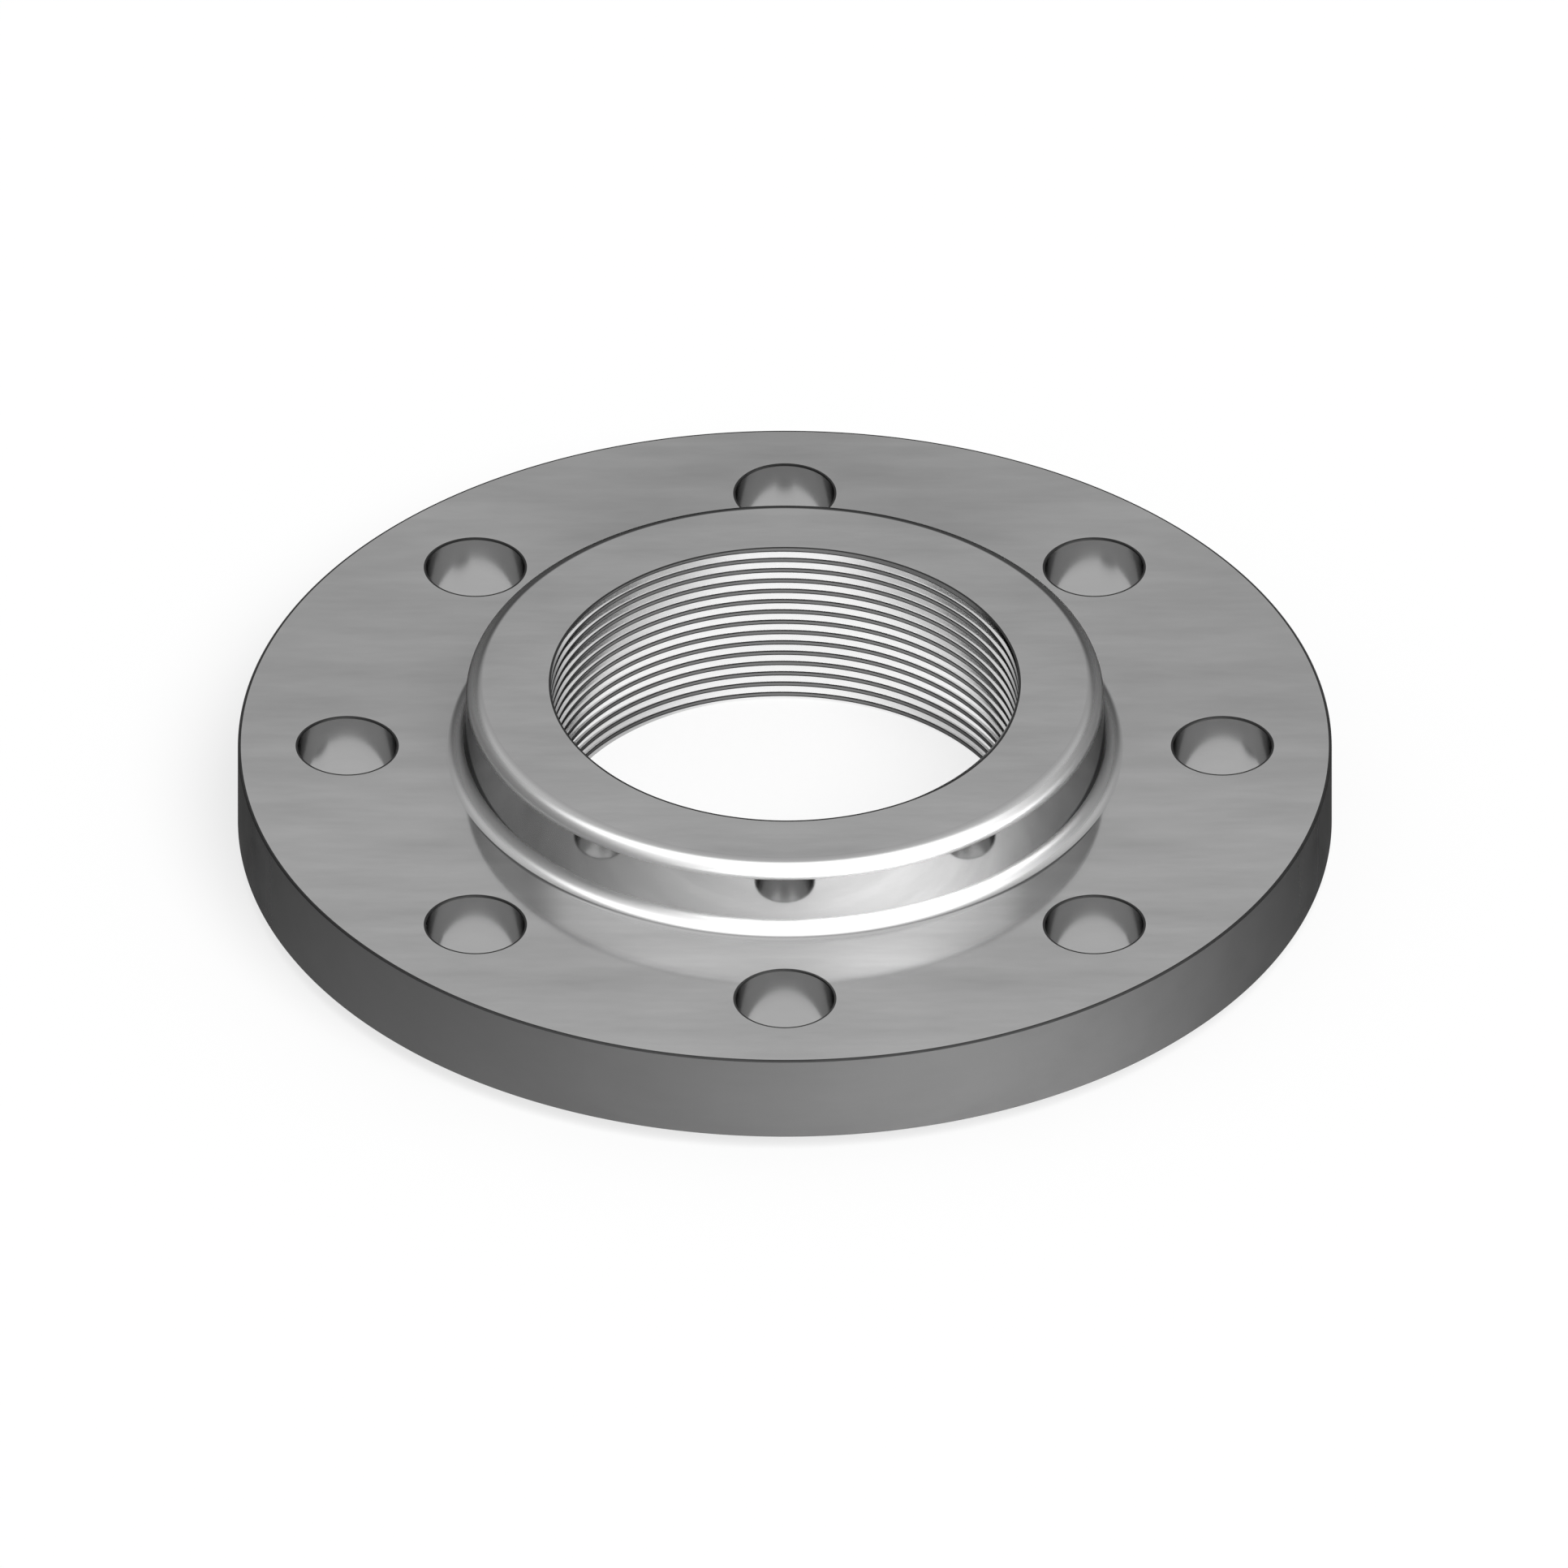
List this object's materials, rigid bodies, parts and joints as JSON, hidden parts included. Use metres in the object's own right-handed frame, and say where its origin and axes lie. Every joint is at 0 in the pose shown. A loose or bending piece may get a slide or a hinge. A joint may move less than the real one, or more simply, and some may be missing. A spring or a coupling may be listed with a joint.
{
  "type": "flange adapter",
  "caption": "Round steel flange adapter with a raised hub, a threaded through bore, a ring of bolt holes and a raised sealing face below.",
  "frame": {"origin": "centre of the bore on the plane of the raised sealing face, the lowest plane of the part", "axes": "+Z along the bore, from the sealing face towards the hub, and +X through the centre of a bolt hole"},
  "size_m": [0.2, 0.2, 0.034],
  "materials": {
    "machined_steel": "turned and drilled bare steel with a soft sheen"
  },
  "bodies": {
    "root": {"threaded_flange": "machined_steel"}
  },
  "joints": []
}
